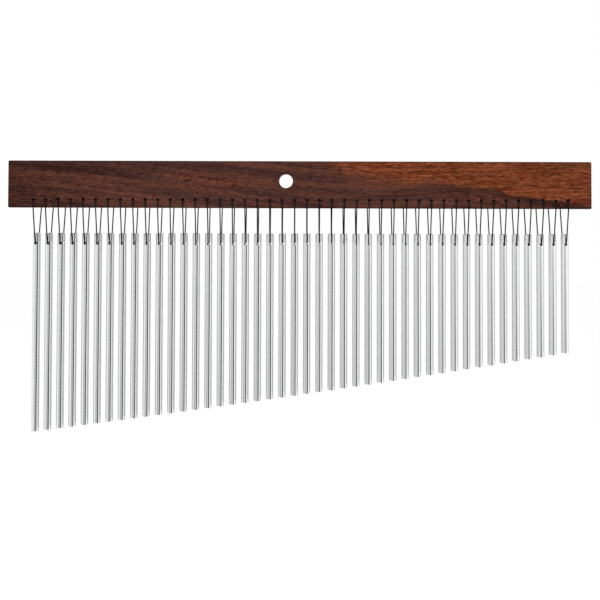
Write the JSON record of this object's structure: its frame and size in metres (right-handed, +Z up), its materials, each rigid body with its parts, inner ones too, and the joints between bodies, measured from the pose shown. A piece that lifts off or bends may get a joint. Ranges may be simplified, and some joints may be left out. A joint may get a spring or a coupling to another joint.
{
  "type": "bar chimes",
  "caption": "Graded row of solid aluminium bars on cord loops under a drilled hardwood mantle; brushed along, each bar swings and strikes its neighbours. Hangs from a through hole.",
  "frame": {"origin": "centre of the mounting hole, halfway through the mantle", "axes": "+X along the mantle towards the short bars, +Y through the mantle away from the player, +Z up"},
  "size_m": [0.746, 0.0288, 0.3473],
  "materials": {
    "mantle_wood": "oiled dark hardwood with fine pores",
    "bar_aluminium": "polished rod with cut ends",
    "cord": "black braided nylon"
  },
  "bodies": {
    "mantle": {"mantle": "mantle_wood", "cord_loops": "cord"},
    "chime_bar_01": {"chime_bar_01": "bar_aluminium"},
    "chime_bar_02": {"chime_bar_02": "bar_aluminium"},
    "chime_bar_03": {"chime_bar_03": "bar_aluminium"},
    "chime_bar_04": {"chime_bar_04": "bar_aluminium"},
    "chime_bar_05": {"chime_bar_05": "bar_aluminium"},
    "chime_bar_06": {"chime_bar_06": "bar_aluminium"},
    "chime_bar_07": {"chime_bar_07": "bar_aluminium"},
    "chime_bar_08": {"chime_bar_08": "bar_aluminium"},
    "chime_bar_09": {"chime_bar_09": "bar_aluminium"},
    "chime_bar_10": {"chime_bar_10": "bar_aluminium"},
    "chime_bar_11": {"chime_bar_11": "bar_aluminium"},
    "chime_bar_12": {"chime_bar_12": "bar_aluminium"},
    "chime_bar_13": {"chime_bar_13": "bar_aluminium"},
    "chime_bar_14": {"chime_bar_14": "bar_aluminium"},
    "chime_bar_15": {"chime_bar_15": "bar_aluminium"},
    "chime_bar_16": {"chime_bar_16": "bar_aluminium"},
    "chime_bar_17": {"chime_bar_17": "bar_aluminium"},
    "chime_bar_18": {"chime_bar_18": "bar_aluminium"},
    "chime_bar_19": {"chime_bar_19": "bar_aluminium"},
    "chime_bar_20": {"chime_bar_20": "bar_aluminium"},
    "chime_bar_21": {"chime_bar_21": "bar_aluminium"},
    "chime_bar_22": {"chime_bar_22": "bar_aluminium"},
    "chime_bar_23": {"chime_bar_23": "bar_aluminium"},
    "chime_bar_24": {"chime_bar_24": "bar_aluminium"},
    "chime_bar_25": {"chime_bar_25": "bar_aluminium"},
    "chime_bar_26": {"chime_bar_26": "bar_aluminium"},
    "chime_bar_27": {"chime_bar_27": "bar_aluminium"},
    "chime_bar_28": {"chime_bar_28": "bar_aluminium"},
    "chime_bar_29": {"chime_bar_29": "bar_aluminium"},
    "chime_bar_30": {"chime_bar_30": "bar_aluminium"},
    "chime_bar_31": {"chime_bar_31": "bar_aluminium"},
    "chime_bar_32": {"chime_bar_32": "bar_aluminium"},
    "chime_bar_33": {"chime_bar_33": "bar_aluminium"},
    "chime_bar_34": {"chime_bar_34": "bar_aluminium"},
    "chime_bar_35": {"chime_bar_35": "bar_aluminium"},
    "chime_bar_36": {"chime_bar_36": "bar_aluminium"},
    "chime_bar_37": {"chime_bar_37": "bar_aluminium"},
    "chime_bar_38": {"chime_bar_38": "bar_aluminium"},
    "chime_bar_39": {"chime_bar_39": "bar_aluminium"},
    "chime_bar_40": {"chime_bar_40": "bar_aluminium"},
    "chime_bar_41": {"chime_bar_41": "bar_aluminium"},
    "chime_bar_42": {"chime_bar_42": "bar_aluminium"},
    "chime_bar_43": {"chime_bar_43": "bar_aluminium"},
    "chime_bar_44": {"chime_bar_44": "bar_aluminium"}
  },
  "joints": [
    {"name": "bar_01_swing", "type": "hinge", "parent": "mantle", "child": "chime_bar_01", "pos_m": [-0.322, 0, -0.07999], "axis": [0, -1, 0], "range_deg": [-30, 1.4]},
    {"name": "bar_02_swing", "type": "hinge", "parent": "mantle", "child": "chime_bar_02", "pos_m": [-0.30612, 0, -0.07999], "axis": [0, -1, 0], "range_deg": [-1.4, 1.45]},
    {"name": "bar_03_swing", "type": "hinge", "parent": "mantle", "child": "chime_bar_03", "pos_m": [-0.29025, 0, -0.07999], "axis": [0, -1, 0], "range_deg": [-1.45, 1.45]},
    {"name": "bar_04_swing", "type": "hinge", "parent": "mantle", "child": "chime_bar_04", "pos_m": [-0.27437, 0, -0.07999], "axis": [0, -1, 0], "range_deg": [-1.45, 1.45]},
    {"name": "bar_05_swing", "type": "hinge", "parent": "mantle", "child": "chime_bar_05", "pos_m": [-0.2585, 0, -0.07999], "axis": [0, -1, 0], "range_deg": [-1.45, 1.45]},
    {"name": "bar_06_swing", "type": "hinge", "parent": "mantle", "child": "chime_bar_06", "pos_m": [-0.24263, 0, -0.07999], "axis": [0, -1, 0], "range_deg": [-1.45, 1.5]},
    {"name": "bar_07_swing", "type": "hinge", "parent": "mantle", "child": "chime_bar_07", "pos_m": [-0.22675, 0, -0.07999], "axis": [0, -1, 0], "range_deg": [-1.5, 1.5]},
    {"name": "bar_08_swing", "type": "hinge", "parent": "mantle", "child": "chime_bar_08", "pos_m": [-0.21088, 0, -0.07999], "axis": [0, -1, 0], "range_deg": [-1.5, 1.5]},
    {"name": "bar_09_swing", "type": "hinge", "parent": "mantle", "child": "chime_bar_09", "pos_m": [-0.195, 0, -0.07999], "axis": [0, -1, 0], "range_deg": [-1.5, 1.55]},
    {"name": "bar_10_swing", "type": "hinge", "parent": "mantle", "child": "chime_bar_10", "pos_m": [-0.17913, 0, -0.07999], "axis": [0, -1, 0], "range_deg": [-1.55, 1.55]},
    {"name": "bar_11_swing", "type": "hinge", "parent": "mantle", "child": "chime_bar_11", "pos_m": [-0.16325, 0, -0.07999], "axis": [0, -1, 0], "range_deg": [-1.55, 1.55]},
    {"name": "bar_12_swing", "type": "hinge", "parent": "mantle", "child": "chime_bar_12", "pos_m": [-0.14738, 0, -0.07999], "axis": [0, -1, 0], "range_deg": [-1.55, 1.6]},
    {"name": "bar_13_swing", "type": "hinge", "parent": "mantle", "child": "chime_bar_13", "pos_m": [-0.1315, 0, -0.07999], "axis": [0, -1, 0], "range_deg": [-1.6, 1.6]},
    {"name": "bar_14_swing", "type": "hinge", "parent": "mantle", "child": "chime_bar_14", "pos_m": [-0.11563, 0, -0.07999], "axis": [0, -1, 0], "range_deg": [-1.6, 1.6]},
    {"name": "bar_15_swing", "type": "hinge", "parent": "mantle", "child": "chime_bar_15", "pos_m": [-0.09975, 0, -0.07999], "axis": [0, -1, 0], "range_deg": [-1.6, 1.65]},
    {"name": "bar_16_swing", "type": "hinge", "parent": "mantle", "child": "chime_bar_16", "pos_m": [-0.08388, 0, -0.07999], "axis": [0, -1, 0], "range_deg": [-1.65, 1.65]},
    {"name": "bar_17_swing", "type": "hinge", "parent": "mantle", "child": "chime_bar_17", "pos_m": [-0.068, 0, -0.07999], "axis": [0, -1, 0], "range_deg": [-1.65, 1.65]},
    {"name": "bar_18_swing", "type": "hinge", "parent": "mantle", "child": "chime_bar_18", "pos_m": [-0.05212, 0, -0.07999], "axis": [0, -1, 0], "range_deg": [-1.65, 1.7]},
    {"name": "bar_19_swing", "type": "hinge", "parent": "mantle", "child": "chime_bar_19", "pos_m": [-0.03625, 0, -0.07999], "axis": [0, -1, 0], "range_deg": [-1.7, 1.7]},
    {"name": "bar_20_swing", "type": "hinge", "parent": "mantle", "child": "chime_bar_20", "pos_m": [-0.02038, 0, -0.07999], "axis": [0, -1, 0], "range_deg": [-1.7, 1.75]},
    {"name": "bar_21_swing", "type": "hinge", "parent": "mantle", "child": "chime_bar_21", "pos_m": [-0.0045, 0, -0.07999], "axis": [0, -1, 0], "range_deg": [-1.75, 1.75]},
    {"name": "bar_22_swing", "type": "hinge", "parent": "mantle", "child": "chime_bar_22", "pos_m": [0.01137, 0, -0.07999], "axis": [0, -1, 0], "range_deg": [-1.75, 1.75]},
    {"name": "bar_23_swing", "type": "hinge", "parent": "mantle", "child": "chime_bar_23", "pos_m": [0.02725, 0, -0.07999], "axis": [0, -1, 0], "range_deg": [-1.75, 1.8]},
    {"name": "bar_24_swing", "type": "hinge", "parent": "mantle", "child": "chime_bar_24", "pos_m": [0.04312, 0, -0.07999], "axis": [0, -1, 0], "range_deg": [-1.8, 1.8]},
    {"name": "bar_25_swing", "type": "hinge", "parent": "mantle", "child": "chime_bar_25", "pos_m": [0.059, 0, -0.07999], "axis": [0, -1, 0], "range_deg": [-1.8, 1.85]},
    {"name": "bar_26_swing", "type": "hinge", "parent": "mantle", "child": "chime_bar_26", "pos_m": [0.07487, 0, -0.07999], "axis": [0, -1, 0], "range_deg": [-1.85, 1.85]},
    {"name": "bar_27_swing", "type": "hinge", "parent": "mantle", "child": "chime_bar_27", "pos_m": [0.09075, 0, -0.07999], "axis": [0, -1, 0], "range_deg": [-1.85, 1.9]},
    {"name": "bar_28_swing", "type": "hinge", "parent": "mantle", "child": "chime_bar_28", "pos_m": [0.10662, 0, -0.07999], "axis": [0, -1, 0], "range_deg": [-1.9, 1.9]},
    {"name": "bar_29_swing", "type": "hinge", "parent": "mantle", "child": "chime_bar_29", "pos_m": [0.1225, 0, -0.07999], "axis": [0, -1, 0], "range_deg": [-1.9, 1.95]},
    {"name": "bar_30_swing", "type": "hinge", "parent": "mantle", "child": "chime_bar_30", "pos_m": [0.13837, 0, -0.07999], "axis": [0, -1, 0], "range_deg": [-1.95, 1.95]},
    {"name": "bar_31_swing", "type": "hinge", "parent": "mantle", "child": "chime_bar_31", "pos_m": [0.15425, 0, -0.07999], "axis": [0, -1, 0], "range_deg": [-1.95, 2]},
    {"name": "bar_32_swing", "type": "hinge", "parent": "mantle", "child": "chime_bar_32", "pos_m": [0.17012, 0, -0.07999], "axis": [0, -1, 0], "range_deg": [-2, 2.05]},
    {"name": "bar_33_swing", "type": "hinge", "parent": "mantle", "child": "chime_bar_33", "pos_m": [0.186, 0, -0.07999], "axis": [0, -1, 0], "range_deg": [-2.05, 2.05]},
    {"name": "bar_34_swing", "type": "hinge", "parent": "mantle", "child": "chime_bar_34", "pos_m": [0.20187, 0, -0.07999], "axis": [0, -1, 0], "range_deg": [-2.05, 2.1]},
    {"name": "bar_35_swing", "type": "hinge", "parent": "mantle", "child": "chime_bar_35", "pos_m": [0.21775, 0, -0.07999], "axis": [0, -1, 0], "range_deg": [-2.1, 2.15]},
    {"name": "bar_36_swing", "type": "hinge", "parent": "mantle", "child": "chime_bar_36", "pos_m": [0.23362, 0, -0.07999], "axis": [0, -1, 0], "range_deg": [-2.15, 2.15]},
    {"name": "bar_37_swing", "type": "hinge", "parent": "mantle", "child": "chime_bar_37", "pos_m": [0.2495, 0, -0.07999], "axis": [0, -1, 0], "range_deg": [-2.15, 2.2]},
    {"name": "bar_38_swing", "type": "hinge", "parent": "mantle", "child": "chime_bar_38", "pos_m": [0.26538, 0, -0.07999], "axis": [0, -1, 0], "range_deg": [-2.2, 2.25]},
    {"name": "bar_39_swing", "type": "hinge", "parent": "mantle", "child": "chime_bar_39", "pos_m": [0.28125, 0, -0.07999], "axis": [0, -1, 0], "range_deg": [-2.25, 2.25]},
    {"name": "bar_40_swing", "type": "hinge", "parent": "mantle", "child": "chime_bar_40", "pos_m": [0.29712, 0, -0.07999], "axis": [0, -1, 0], "range_deg": [-2.25, 2.3]},
    {"name": "bar_41_swing", "type": "hinge", "parent": "mantle", "child": "chime_bar_41", "pos_m": [0.313, 0, -0.07999], "axis": [0, -1, 0], "range_deg": [-2.3, 2.35]},
    {"name": "bar_42_swing", "type": "hinge", "parent": "mantle", "child": "chime_bar_42", "pos_m": [0.32887, 0, -0.07999], "axis": [0, -1, 0], "range_deg": [-2.35, 2.4]},
    {"name": "bar_43_swing", "type": "hinge", "parent": "mantle", "child": "chime_bar_43", "pos_m": [0.34475, 0, -0.07999], "axis": [0, -1, 0], "range_deg": [-2.4, 2.45]},
    {"name": "bar_44_swing", "type": "hinge", "parent": "mantle", "child": "chime_bar_44", "pos_m": [0.36062, 0, -0.07999], "axis": [0, -1, 0], "range_deg": [-2.45, 30]}
  ]
}
